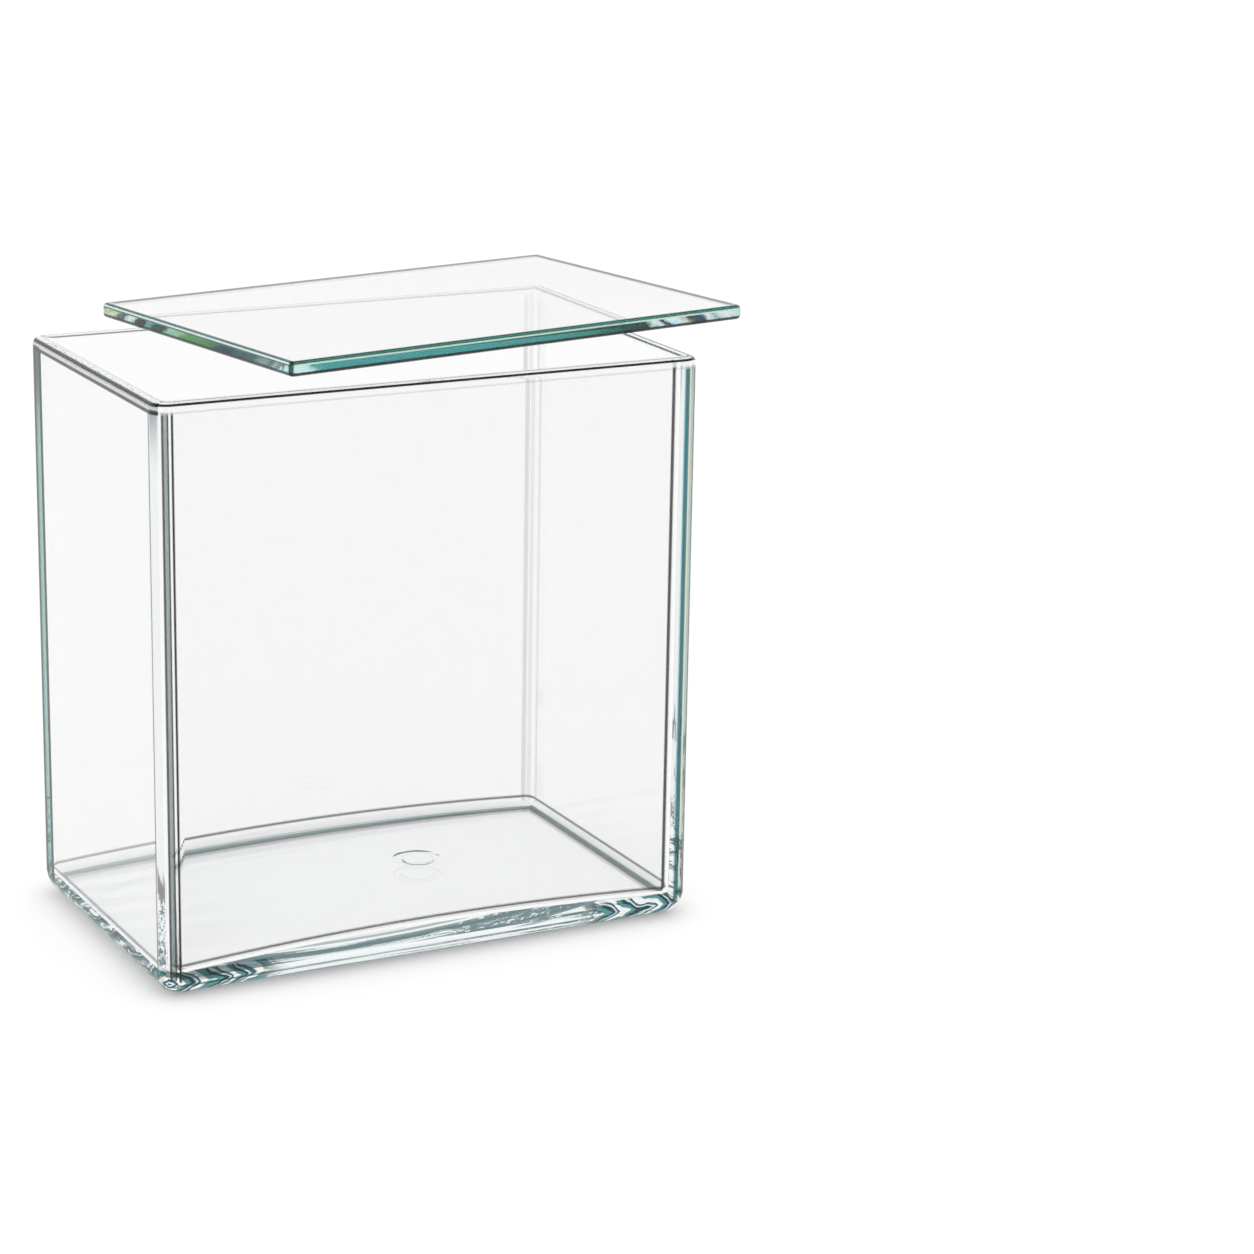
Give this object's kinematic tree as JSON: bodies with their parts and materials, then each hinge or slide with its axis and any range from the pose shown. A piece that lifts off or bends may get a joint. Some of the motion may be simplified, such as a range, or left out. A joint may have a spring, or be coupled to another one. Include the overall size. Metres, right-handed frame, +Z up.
{
  "type": "tlc developing chamber",
  "caption": "Rectangular glass tank for developing thin-layer plates, thick crowned floor, polished rim, with a loose flat glass lid slid partly open.",
  "frame": {"origin": "middle of the flat underside that the tank stands on", "axes": "+X along the long front wall to the right, +Y from the front wall to the back wall, +Z up through the open top"},
  "size_m": [0.2714, 0.1967, 0.2308],
  "materials": {
    "tank_glass": "clear moulded glass with fire-polished edges, sea green where it is looked through edgewise",
    "lid_glass": "clear float glass with polished edges, deep green where it is looked through edgewise"
  },
  "bodies": {
    "root": {"tank": "tank_glass", "lid": "lid_glass"}
  },
  "joints": []
}
